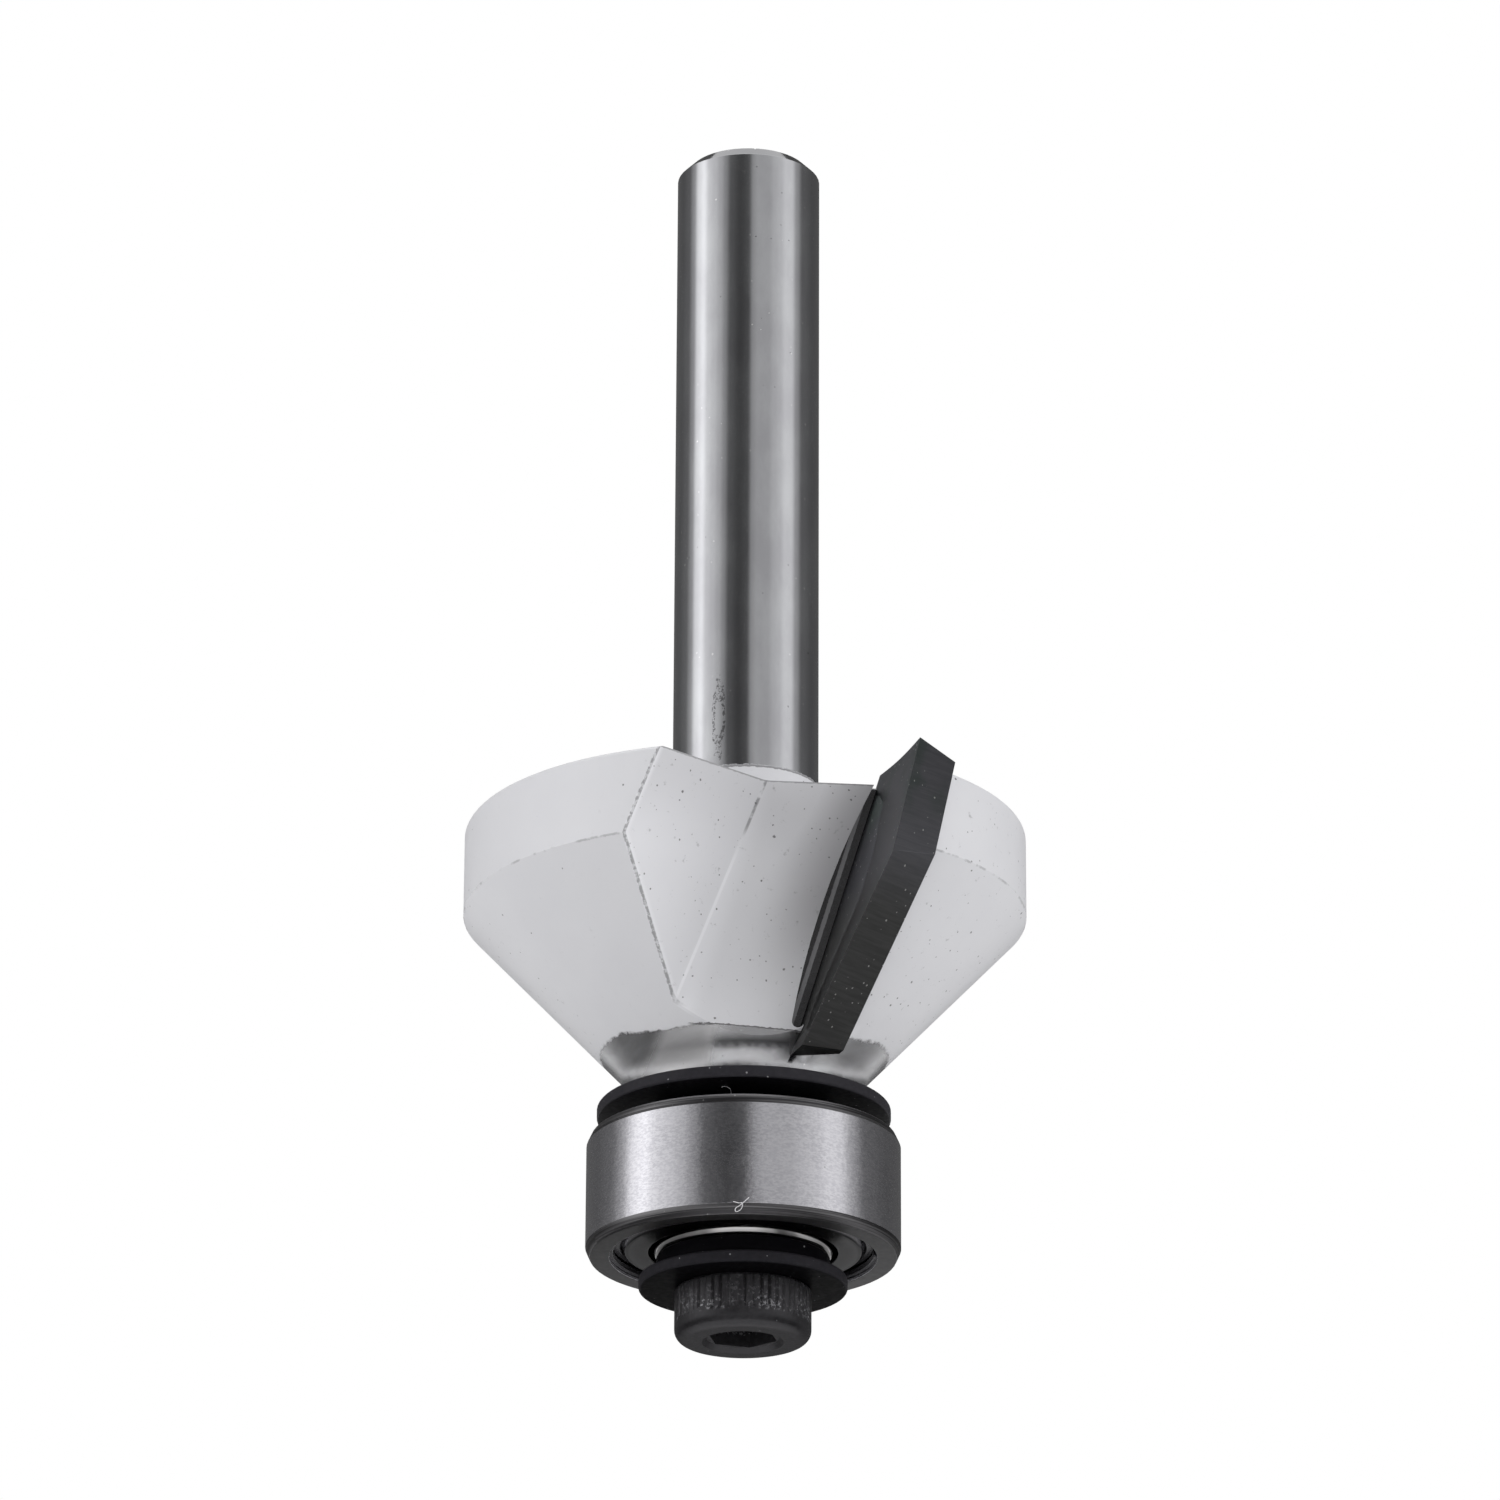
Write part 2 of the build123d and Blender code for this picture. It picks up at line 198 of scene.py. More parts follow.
# Places of finishes, painted light and painted shade on the body; pairs are the two ends of a fade
NOSE_FADE = (14, 13)
NOSE_FILM = (-4.3, -3.0)
NOSE_SHADE_HEIGHTS = (-0.55, -0.25)
NOSE_SHADE_ACROSS = (-3.4, -1.6)
GROOVE_WIDTH = 1.1
GROOVE_ENTRY = (-3.0, -3.5)
GROOVE_STRIPE = (-0.44, -0.3)
FLANK_LIGHT_REACH = (-3.8, -4.8)
SHADE_BEFORE_RAKE = (-3.4, -0.3)
PAINTED_SHADE_HEIGHTS = (12.5, 17)
TOP_PAINTED_SHADE_HEIGHTS = (17.5, 21.2)
EDGE_WEAR_RISE = (12.2, 12.7)
DARK_CREASE_RISE = (19.0, 19.6)
LIGHT_CREASE_FALL = (19.2, 17.5)
SHANK_CHAMFER_FADE = (SHANK_END - 0.52, SHANK_END - 0.46)
SHANK_FACE_FADE = (SHANK_END - 0.02, SHANK_END - 0.005)
PATCH_AZIMUTH = -41
PATCH_Z = 25.75
PATCH_SQUEEZE = (3.0, 3.0, 0.52)
WEAR_WIDTH = 0.09
NO_RIM = 99

# Places of finishes and painted light on the other pieces
CARBIDE_BEVEL_FADE = (17.5, 15.0)
CARBIDE_GREEN_RISE = (18.0, 20.5)
SHIELD_SHADE = (4.9, 4.1)
SHIELD_STEP_SHADE = (4.64, 4.74)
SHIELD_RIDGE_HIGHLIGHT = (4.82, 4.88)
UPPER_RIM = WASHER_R - 0.06
LOWER_RIM = LOWER_WASHER_R - 0.07
GRIT_RISE = (0.6, 0.76)
GRIT_FADE = (1.6, 0.9)
# A low index of refraction keeps black oxide black at a flat angle
OXIDE_IOR = 1.15
LOWER_WASHER_IOR = 1.1

# Colours in sRGB from 0 to 255; pairs are the two ends of a mottled finish
PAINT = (212, 212, 216), (219, 219, 222)
PAINT_FLANK_LIGHT = (234, 234, 238)
PAINT_SHADE = (158, 157, 160)
DIRT_WEAR_AND_SHADE = (84, 83, 85)
PAINT_HIGHLIGHT = (240, 240, 244)
SHANK_STEEL = (193, 193, 197), (207, 208, 211)
SHANK_CHAMFER = (120, 120, 123)
SHANK_NICK = (76, 75, 76)
SHANK_GLINT = 250
NOSE_DULL = (176, 175, 176)
NOSE_DUST = (214, 213, 214)
NOSE_SHADE = (110, 109, 110)
NOSE_SPECK = 60
GROOVE_STEEL = (26, 25, 28), (42, 41, 44)
GROOVE_LIGHT = (140, 139, 142)
GROOVE_LIP_SHADOW = (16, 15, 17)
RING_STEEL = (198, 197, 203), (206, 205, 211)
RING_GLINT = (221, 220, 225)
RING_SPECK = 120
CHAMFER_STEEL = (70, 69, 71), (124, 123, 125)
CHAMFER_SPECK = 190
RING_FACE = (84, 83, 85), (140, 139, 141)
INNER_RING_STEEL = (192, 190, 190), (212, 211, 211)
PRESSED_STEEL = (56, 55, 59), (108, 107, 111)
PRESSED_SHADE = (34, 33, 36)
PRESSED_STEP_SHADE = (18, 18, 20)
PRESSED_RIDGE_HIGHLIGHT = (170, 169, 172)
BALL_STEEL = (205, 205, 207), (222, 222, 224)
WASHER_BLACK = (12, 11, 15), (22, 21, 25)
SPACER_BLACK = (9, 8, 12), (18, 17, 21)
LOWER_WASHER_BLACK = (8, 7, 10), (20, 19, 22)
RIM_BLACK = (36, 35, 39), (54, 53, 57)
OXIDE_DUST = (168, 168, 171)
SCREW_BLACK = (44, 43, 46), (74, 73, 76)
SCREW_GRIT = (164, 164, 168)
CARBIDE_GROUND = (84, 84, 88), (92, 92, 96)
CARBIDE_GROUND_LOW = 67, 77
CARBIDE_FIELD = (60, 60, 64), (70, 70, 74)
CARBIDE_FIELD_LOW = 61, 71
CARBIDE_GREEN = (62, 74, 68)
CARBIDE_DUST = (190, 190, 188)
LINT = (215, 214, 217), (242, 241, 244)

# Lint: its points are (along, up, out) from where it sits
LINT_R = 0.016
RING_LINT_Z = 3.6
RING_LINT_TURN = -1.6
RING_LINT = [
    (-0.22, 0.34, 0.03),
    (-0.02, 0.26, 0.02),
    (0.16, 0.3, 0.03),
    (0.12, 0.02, 0.02),
    (-0.12, -0.12, 0.02),
    (-0.16, 0.06, 0.03),
    (0.06, 0.16, 0.05),
    (0.4, 0.5, 0.04),
]
WASHER_LINT_R = 4.3
WASHER_LINT_TURN = -9
WASHER_LINT = [(-0.16, 0, 0.35), (-0.06, 0, 0.55), (0.13, -0.02, 0.35), (0.15, 0, -0.05), (0.08, 0, -0.5)]


def srgb(color):
    """Linear colour of an sRGB one, given as (red, green, blue) or as one grey from 0 to 255."""
    parts = color if isinstance(color, tuple) else (color, color, color)
    shares = [part / 255 for part in parts]
    line = [p / 12.92 if p <= 0.04045 else ((p + 0.055) / 1.055) ** 2.4 for p in shares]
    return (*line, 1.0)


def compass(azimuth, elevation=0):
    """Unit vector from the object; azimuth 0 points to -Y and 90 to +X."""
    a = math.radians(azimuth)
    e = math.radians(elevation)
    return Vector((math.sin(a) * math.cos(e), -math.cos(a) * math.cos(e), math.sin(e)))


def tangent(degrees):
    return math.tan(math.radians(degrees))


def link(thing):
    bpy.context.scene.collection.objects.link(thing)
    return thing


class Material:
    """Node material: each method adds a node or two and gives back its output."""

    def __init__(self, name):
        self.material = bpy.data.materials.new(name)
        self.material.use_nodes = True
        self.tree = self.material.node_tree
        self.tree.nodes.clear()
        coords = self.add("ShaderNodeTexCoord").outputs["Object"]
        self.mm = self.vector("SCALE", coords, scale=1 / MM)
        self.x, self.y, self.z = self.parts(self.mm)
        self.radius = self.math("SQRT", self.sum(self.times(self.x, self.x), self.times(self.y, self.y)))

    def add(self, kind, inputs=None, **settings):
        node = self.tree.nodes.new(kind)
        for key, value in settings.items():
            setattr(node, key, value)
        for key, value in (inputs or {}).items():
            self.plug(node.inputs[key], value)
        return node

    def plug(self, socket, value):
        if isinstance(value, bpy.types.NodeSocket):
            self.tree.links.new(value, socket)
        else:
            socket.default_value = value

    def parts(self, vector):
        """The X, Y and Z of a vector."""
        return self.add("ShaderNodeSeparateXYZ", {"Vector": vector}).outputs

    def math(self, operation, *values):
        node = self.add("ShaderNodeMath", operation=operation)
        for socket, value in zip(node.inputs, values):
            self.plug(socket, value)
        return node.outputs[0]

    def sum(self, *values):
        total = values[0]
        for value in values[1:]:
            total = self.math("ADD", total, value)
        return total

    def times(self, *values):
        total = values[0]
        for value in values[1:]:
            total = self.math("MULTIPLY", total, value)
        return total

    def less(self, a, b):
        return self.math("SUBTRACT", a, b)

    def most(self, *values):
        total = values[0]
        for value in values[1:]:
            total = self.math("MAXIMUM", total, value)
        return total

    def size(self, a):
        return self.math("ABSOLUTE", a)

    def vector(self, operation, a, b=None, scale=None):
        node = self.add("ShaderNodeVectorMath", operation=operation)
        self.plug(node.inputs[0], a)
        if b is not None:
            self.plug(node.inputs[1], b)
        if scale is not None:
            self.plug(node.inputs["Scale"], scale)
        return node.outputs["Value" if operation in ("DOT_PRODUCT", "LENGTH") else "Vector"]

    def ramp(self, value, start, end, low=0.0, high=1.0):
        """A smooth step from low at start to high at end."""
        inputs = {"Value": value, "From Min": start, "From Max": end, "To Min": low, "To Max": high}
        node = self.add("ShaderNodeMapRange", inputs, interpolation_type="SMOOTHSTEP")
        return node.outputs["Result"]

    def mottle(self, noise, low=0.0, high=1.0):
        """A noise spread from low to high."""
        return self.ramp(noise, 0.3, 0.7, low, high)

    def within(self, value, low, high, soft=0.02):
        """1 where the value lies from low to high."""
        return self.times(self.ramp(value, low - soft, low), self.ramp(value, high + soft, high))

    def mix(self, factor, a, b):
        node = self.add("ShaderNodeMix", data_type="RGBA")
        for index, value in ((0, factor), (6, a), (7, b)):
            self.plug(node.inputs[index], value)
        return node.outputs[2]

    def between(self, factor, colors):
        """A colour from the first sRGB one, at factor 0, to the second."""
        return self.mix(factor, srgb(colors[0]), srgb(colors[1]))

    def tint(self, factor, color, other):
        """A colour that turns to an sRGB one by the factor."""
        return self.mix(factor, color, srgb(other))

    def blend(self, factor, a, b):
        """A number from a, at factor 0, to b."""
        node = self.add("ShaderNodeMix", data_type="FLOAT")
        for index, value in ((0, factor), (2, a), (3, b)):
            self.plug(node.inputs[index], value)
        return node.outputs[0]

    def noise(self, period, detail=3, roughness=0.5, stretch=(1, 1, 1), coords=None):
        """Noise whose blotches are about period millimetres wide."""
        where = self.vector("MULTIPLY", coords or self.mm, tuple(s / period for s in stretch))
        inputs = {"Vector": where, "Scale": 1, "Detail": detail, "Roughness": roughness}
        return self.add("ShaderNodeTexNoise", inputs).outputs[0]

    def colors(self, period):
        """Noise in three channels."""
        where = self.vector("SCALE", self.mm, scale=1 / period)
        inputs = {"Vector": where, "Scale": 1, "Detail": 2}
        return self.add("ShaderNodeTexNoise", inputs).outputs["Color"]

    def specks(self, spacing, width, share, seed=0):
        """Small spots of about a width, in that share of the cells of a spacing."""
        shift = self.vector("ADD", self.mm, (seed * 3.7, seed * 1.3, seed * 2.9))
        warp = self.vector("SCALE", self.colors(width * 1.5), scale=width * 1.2)
        inputs = {"Vector": self.vector("ADD", shift, warp), "Scale": 1 / spacing}
        cell = self.add("ShaderNodeTexVoronoi", inputs)
        pick, size, _ = self.parts(cell.outputs["Color"])
        reach = self.times(self.ramp(size, 0, 1, 0.45, 1.0), width / spacing)
        spot = self.ramp(cell.outputs["Distance"], reach, self.times(reach, 0.5))
        return self.times(spot, self.math("LESS_THAN", pick, share))

    def bands(self, table):
        """Grey by the angle to the right of the camera, in an object turned to the camera."""
        angle = self.math("ARCTAN2", self.x, self.times(self.y, -1.0))
        share = self.sum(self.times(angle, 0.5 / math.pi), 0.5)
        ramp = self.add("ShaderNodeValToRGB", {"Fac": share})
        ramp.color_ramp.interpolation = "EASE"
        stops = ramp.color_ramp.elements
        while len(stops) < len(table):
            stops.new(1.0)
        for stop, (degrees, level) in zip(stops, table):
            stop.position = degrees / 360 + 0.5
            stop.color = (level, level, level, 1)
        return ramp.outputs["Color"]

    def around(self):
        """Coordinates unrolled round the Z axis: arc length, radius, height."""
        arc = self.times(self.math("ARCTAN2", self.y, self.x), self.radius)
        return self.add("ShaderNodeCombineXYZ", {"X": arc, "Y": self.radius, "Z": self.z}).outputs[0]

    def near_half(self):
        """Coordinates in which either gullet is the front one."""
        flip = self.times(self.math("SIGN", self.y), -1.0)
        turn = self.add("ShaderNodeCombineXYZ", {"X": flip, "Y": flip, "Z": 1.0}).outputs[0]
        return self.vector("MULTIPLY", self.mm, turn)

    def plane(self, place, normal, offset):
        """Millimetres from a plane, counted along its normal."""
        length = Vector(normal).length
        share = tuple(part / length for part in normal)
        return self.math("ADD", self.vector("DOT_PRODUCT", place, share), offset / length)

    def bump(self, height, distance):
        return self.add("ShaderNodeBump", {"Height": height, "Distance": distance * MM}).outputs[0]

    def finish(self, color, roughness, metallic=0.0, normal=None, **fixed):
        """The surface shader; fixed holds plain numbers for its own sockets."""
        inputs = {"Base Color": color, "Roughness": roughness, "Metallic": metallic, **fixed}
        if normal is not None:
            inputs["Normal"] = normal
        shader = self.add("ShaderNodeBsdfPrincipled", inputs)
        return self.surface(shader)

    def surface(self, shader):
        self.add("ShaderNodeOutputMaterial", {"Surface": shader.outputs[0]})
        return self.material


def bearing_steel():
    """Outer ring: finely ground round the axis; turned chamfers and faces dark, partly from their finish,
    partly painted shade.
    """
    m = Material("bearing_steel")
    wrap = m.around()
    grain = m.noise(0.07, 3, 0.6, stretch=(0.45, 1, 1), coords=wrap)
    drift = m.noise(0.5, 3, 0.6, stretch=(1, 1, 0.5), coords=wrap)
    lines = m.noise(0.09, 2, 0.5, stretch=(0.01, 1, 1), coords=wrap)
    up = m.size(m.less(m.z, BEARING_MID))
    outside = m.ramp(m.radius, OUTER_R - 0.35, OUTER_R - 0.25)
    chamfer = m.times(m.within(up, BEARING_HALF - CHAMFER_HEIGHT, BEARING_HALF - 0.02), outside)
    face = m.ramp(up, BEARING_HALF - 0.02, BEARING_HALF - 0.005)
    turned_part = m.most(chamfer, face)
    color = m.between(m.ramp(m.noise(1.6, 4, 0.6), 0.35, 0.65), RING_STEEL)
    color = m.tint(m.ramp(grain, 0.35, 0.65), color, RING_GLINT)
    color = m.tint(m.times(m.specks(0.6, 0.06, 0.3), 0.5), color, RING_SPECK)
    # Dark chamfers and faces: partly the turned finish, partly painted shade
    dull = m.between(m.ramp(lines, 0.38, 0.62), CHAMFER_STEEL)
    dull = m.tint(m.times(m.specks(0.3, 0.04, 0.5, seed=3), 0.7), dull, CHAMFER_SPECK)
    color = m.mix(chamfer, color, dull)
    color = m.mix(face, color, m.between(m.noise(0.3, 4, 0.7), RING_FACE))
    roughness = m.blend(turned_part, m.mottle(drift, 0.12, 0.18), 0.36)
    height = m.blend(turned_part, m.sum(grain, m.times(drift, 1.5)), lines)
    return m.finish(color, roughness, 1.0, m.bump(height, 0.003))


def ring_edge_steel():
    """Inner ring: polished."""
    m = Material("inner_ring_steel")
    haze = m.noise(0.5)
    return m.finish(m.between(haze, INNER_RING_STEEL), m.mottle(haze, 0.12, 0.2), 1.0)


def pressed_steel():
    """Shields, snap rings and cage; painted shade towards the shields' middle and in their step, a painted
    highlight on the ridge.
    """
    m = Material("pressed_steel")
    grain = m.noise(0.3)
    lines = m.noise(0.12, 2, 0.5, stretch=(0.02, 1, 1), coords=m.around())
    color = m.between(m.sum(m.times(grain, 0.3), m.times(lines, 0.4), 0.15), PRESSED_STEEL)
    # Painted shade towards the middle, a painted shade line in the step and a painted highlight on its ridge
    color = m.tint(m.ramp(m.radius, *SHIELD_SHADE), color, PRESSED_SHADE)
    color = m.tint(m.times(m.within(m.radius, *SHIELD_STEP_SHADE, 0.05), 0.85), color, PRESSED_STEP_SHADE)
    color = m.tint(m.times(m.within(m.radius, *SHIELD_RIDGE_HIGHLIGHT, 0.05), 0.8), color, PRESSED_RIDGE_HIGHLIGHT)
    return m.finish(color, m.mottle(grain, 0.14, 0.2), 1.0)


def polished_steel():
    """Balls."""
    m = Material("polished_steel")
    haze = m.noise(0.8, 2)
    return m.finish(m.between(haze, BALL_STEEL), m.mottle(haze, 0.06, 0.12), 1.0)


def black_oxide(name, colors, ior, rim=NO_RIM):
    """Washers and spacers: black oxide with a little dust; lighter beyond the rim's radius, as worn and as
    painted light.
    """
    m = Material(name)
    grain = m.noise(0.25, 4, 0.6)
    dust = m.most(m.specks(0.5, 0.06, 0.4), m.specks(0.3, 0.035, 0.4, seed=5))
    color = m.between(grain, colors)
    # Lighter rim: partly worn oxide, partly painted light
    color = m.mix(m.ramp(m.radius, rim - 0.03, rim), color, m.between(grain, RIM_BLACK))
    color = m.tint(m.times(dust, 0.7), color, OXIDE_DUST)
    return m.finish(color, m.mottle(grain, 0.32, 0.46), 0.0, m.bump(grain, 0.005), IOR=ior)


def screw_black():
    """Cap screw: black oxide, with pale grit along the foot of the ribs."""
    m = Material("screw_black")
    grain = m.noise(0.2, 4, 0.6)
    ribs = m.times(m.ramp(m.z, *GRIT_RISE), m.sum(m.times(m.ramp(m.z, *GRIT_FADE), 0.75), 0.25))
    patches = m.ramp(m.noise(0.8, 2), 0.36, 0.52, 0.2, 1.0)
    grit = m.times(m.ramp(m.noise(0.14, 3, 0.7), 0.52, 0.62), ribs, patches)
    dust = m.most(m.specks(0.35, 0.05, 0.4, seed=3), grit)
    color = m.tint(m.times(dust, 0.75), m.between(grain, SCREW_BLACK), SCREW_GRIT)
    return m.finish(color, m.mottle(grain, 0.34, 0.5), 0.55, m.bump(grain, 0.01))


def carbide(name, colors, low_colors, roughness, metallic):
    """Tungsten carbide: charcoal, ground across its length, with small pale dust."""
    m = Material(name)
    slant = m.noise(0.5, 4, 0.6, stretch=(0.25, 0.25, 5))
    ground = m.mottle(slant)
    color = m.between(ground, colors)
    color = m.mix(m.ramp(m.z, *CARBIDE_BEVEL_FADE), color, m.between(ground, low_colors))
    green = m.times(m.ramp(m.z, *CARBIDE_GREEN_RISE), m.ramp(m.noise(2.2), 0.45, 0.62), 0.55)
    color = m.tint(green, color, CARBIDE_GREEN)
    dust = m.most(m.specks(0.45, 0.065, 0.6, seed=7), m.specks(0.3, 0.05, 0.6, seed=9))
    color = m.tint(m.times(dust, 0.75), color, CARBIDE_DUST)
    shine = m.mottle(slant, roughness - 0.02, roughness + 0.02)
    return m.finish(color, shine, metallic, m.bump(slant, 0.002))


class BodyMaterial(Material):
    """The body's material. It holds distances in millimetres: from the planes that cut either gullet,
    above 0 in the steel, and from the head's side and cone, below 0 in the steel."""

    def __init__(self, name):
        super().__init__(name)
        here = self.near_half()
        self.across, self.toward, _ = self.parts(here)
        self.wrap = self.around()
        self.rough = self.noise(0.16, 4, 0.65)
        self.broken = self.noise(0.7, 3, 0.6)
        self.wander = self.times(self.less(self.rough, 0.5), 0.16)
        self.wear_width = self.times(self.rough, WEAR_WIDTH)
        self.measure_gullet(here)
        self.measure_head()
        self.find_zones()

    def measure_gullet(self, here):
        floor_high = FLOOR_OFFSET - FLOOR_SLOPE * HEAD_TOP
        flank_high = FLANK_OFFSET - tangent(FLANK_LEAN) * HEAD_TOP
        rake_high = tangent(SHEAR) * CORNER_Z - RAKE_OFFSET
        self.floor = self.plane(here, (tangent(FLOOR_SKEW), 1, FLOOR_SLOPE), floor_high)
        self.flank = self.plane(here, (-tangent(FLANK_SKEW), 1, tangent(FLANK_LEAN)), flank_high)
        self.rake = self.plane(here, (1, 0, -tangent(SHEAR)), rake_high)
        self.gullet = self.most(self.floor, self.flank)

    def measure_head(self):
        self.side = self.less(self.radius, HEAD_R)
        rise = self.times(self.less(CONE_TOP, self.z), tangent(CONE_ANGLE))
        cone = self.times(self.sum(self.side, rise), math.cos(math.radians(CONE_ANGLE)))
        self.outer = self.most(self.side, cone)

    def find_zones(self):
        """Values from 0 to 1: on the head's outside, in a gullet, on its painted faces, and on the nose;
        and the height above the paint's end in a gullet."""
        self.on_outer = self.ramp(self.size(self.outer), 0.10, 0.05)
        at_gullet = self.ramp(self.size(self.gullet), 0.09, 0.05)
        self.in_gullet = self.times(at_gullet, self.ramp(self.rake, 0.15, 0.05))
        self.cut = self.times(self.ramp(self.gullet, 0.10, 0.06), self.ramp(self.rake, 0.12, 0.08))
        self.nose = self.ramp(self.z, *NOSE_FADE)
        slope = self.times(self.across, PAINT_FOOT_SLOPE)
        self.above_foot = self.sum(self.z, slope, self.wander, -PAINT_FOOT_Z)


def groove_zone(m):
    """The groove at the foot of the rake face, bare and dark."""
    return m.times(
        m.within(m.floor, 0.05, GROOVE_DEPTH + 0.12),
        m.within(m.rake, -GROOVE_WIDTH, 0.08),
        m.ramp(m.outer, -0.04, -0.09),
        m.ramp(m.toward, *GROOVE_ENTRY),
        m.ramp(m.z, HEAD_TOP - 0.02, HEAD_TOP - 0.06),
    )


def paint_zone(m):
    """Where the paint is: up to a ring on the shank, and down to the nose and the gullets' feet."""
    high = m.ramp(m.sum(m.z, m.wander), PAINT_TOP + 0.04, PAINT_TOP - 0.02)
    over_foot = m.ramp(m.above_foot, -0.02, 0.02)
    ragged = m.sum(m.radius, m.times(m.less(m.noise(0.5, 4, 0.6), 0.5), 0.3), m.wander)
    ragged = m.sum(ragged, m.ramp(m.gullet, 3.2, 0.9, 0.0, 0.28))
    low = m.ramp(ragged, PAINT_FOOT_R - 0.05, PAINT_FOOT_R + 0.05)
    low = m.most(low, m.ramp(m.z, 19, 20), m.times(over_foot, m.ramp(m.gullet, 1.3, 0.9)))
    return m.times(high, m.blend(m.cut, low, over_foot))


def paint_color(m):
    """Paint specked with dirt; painted light on the gullet's flank, painted shade before the rake face and
    near the top.
    """
    color = m.between(m.noise(3.0), PAINT)
    # Painted light: the gullet's flank is coloured lighter, as it is lit more than the floor
    color = m.tint(m.times(m.cut, m.ramp(m.rake, *FLANK_LIGHT_REACH), 0.55), color, PAINT_FLANK_LIGHT)
    # Painted shade: greyer paint before the rake face, where the cutter shades it, and near the gullet's top
    haze = m.times(m.ramp(m.rake, *SHADE_BEFORE_RAKE), m.ramp(m.z, *PAINTED_SHADE_HEIGHTS), 0.85)
    haze = m.most(haze, m.ramp(m.z, *TOP_PAINTED_SHADE_HEIGHTS, 0.0, 0.3))
    color = m.tint(m.times(m.cut, haze), color, PAINT_SHADE)
    crowd = m.most(m.cut, m.times(m.ramp(m.across, 1.0, 2.0), m.ramp(m.toward, 0.0, -1.0)))
    many = m.most(m.specks(0.7, 0.08, 0.5, seed=6), m.specks(0.35, 0.055, 0.6, seed=2))
    dirt = m.most(m.specks(0.8, 0.06, 0.2), m.times(crowd, many))
    smudge = m.times(m.ramp(m.noise(0.35, 4, 0.7), 0.62, 0.75), m.sum(m.times(crowd, 0.3), 0.08))
    return m.tint(m.most(m.times(dirt, 0.85), smudge), color, DIRT_WEAR_AND_SHADE)


def edge_wear(m):
    """A rough dark line along the outer side of the gullets' edges."""
    beside = m.most(m.gullet, m.less(m.rake, 0.1))
    near = m.ramp(m.less(m.size(beside), m.wear_width), 0.04, -0.01)
    gaps = m.ramp(m.noise(0.16, 3, 0.6), 0.42, 0.54)
    return m.times(near, m.on_outer, m.sum(m.times(gaps, 0.35), 0.3), m.ramp(m.z, *EDGE_WEAR_RISE))


def corner_wear(m):
    """A broken dark line where the head's side meets its cone."""
    near = m.ramp(m.less(m.size(m.less(m.z, CONE_TOP)), m.wear_width), 0.02, -0.03)
    return m.times(near, m.ramp(m.size(m.side), 0.12, 0.05), m.ramp(m.broken, 0.46, 0.6), 0.36)


def rim_wear(m):
    """A dark line round the edge of the head's top."""
    near = m.ramp(m.less(m.less(HEAD_TOP, m.z), m.wear_width), 0.03, -0.01)
    return m.times(near, m.most(m.on_outer, m.in_gullet), 0.5)


def paint_end_lines(m):
    """Dark lines at the paint's ends, at the gullets' feet and on the shank."""
    foot = m.times(m.ramp(m.gullet, 0.4, 0.2), m.within(m.above_foot, -0.02, 0.05), m.ramp(m.rake, 0.1, 0))
    foot = m.times(foot, m.ramp(m.broken, 0.3, 0.42), 0.9)
    top = m.within(m.sum(m.z, m.wander), PAINT_TOP - 0.07, PAINT_TOP)
    return m.most(foot, m.times(top, 0.7))


def crease_line(m):
    """The line where a gullet's floor meets its flank."""
    near = m.less(m.size(m.less(m.floor, m.flank)), m.times(m.wear_width, 0.15))
    return m.times(m.ramp(near, 0.05, 0.015), m.ramp(m.gullet, 0.35, 0.25), m.ramp(m.outer, -0.1, -0.2))


def dark_wear_and_shade(m, crease):
    """All the dark lines: worn paint at the edges and the paint's ends, and painted shade in the crease near
    its top.
    """
    # Painted shade along the crease near its top
    high_crease = m.times(crease, m.ramp(m.z, *DARK_CREASE_RISE), m.ramp(m.broken, 0.35, 0.5), 0.6)
    return m.most(edge_wear(m), corner_wear(m), rim_wear(m), high_crease, paint_end_lines(m))


def painted_highlights(m, crease):
    """Painted highlights: along the crease lower down, and on the flank's side of the gullet's edge."""
    on_flank = m.ramp(m.less(m.flank, m.floor), -0.06, 0.0)
    glint = m.times(m.ramp(m.outer, -0.30, -0.02), m.in_gullet, on_flank, 0.75)
    return m.most(glint, m.times(crease, m.ramp(m.z, *LIGHT_CREASE_FALL), 0.85))


def shank_patch(m):
    """The ring of stains low on the shank's front."""
    spot = compass(PATCH_AZIMUTH) * SHANK_R
    reach = m.vector("SUBTRACT", m.mm, (spot.x, spot.y, PATCH_Z))
    reach = m.vector("LENGTH", m.vector("MULTIPLY", reach, PATCH_SQUEEZE))
    reach = m.sum(reach, m.times(m.less(m.noise(0.5, 2), 0.5), 0.9))
    return m.times(m.within(reach, 0.55, 0.85, 0.1), m.ramp(m.noise(0.13, 3, 0.7), 0.46, 0.56))


def shank_steel(m, cloud):
    """Bare ground steel with stains and nicks, duller on the chamfer at the shank's end."""
    steel = m.between(m.mottle(cloud), SHANK_STEEL)
    steel = m.tint(m.times(m.ramp(m.z, *SHANK_CHAMFER_FADE), 0.8), steel, SHANK_CHAMFER)
    scuffs = m.ramp(m.noise(1.3, 2), 0.46, 0.6)
    nicks = m.most(m.specks(1.1, 0.07, 0.25, seed=4), m.times(scuffs, m.specks(0.4, 0.05, 0.5, seed=12)))
    steel = m.tint(m.most(m.times(shank_patch(m), 0.7), m.times(nicks, 0.55)), steel, SHANK_NICK)
    return m.tint(m.times(scuffs, m.specks(0.35, 0.06, 0.5, seed=15)), steel, SHANK_GLINT)


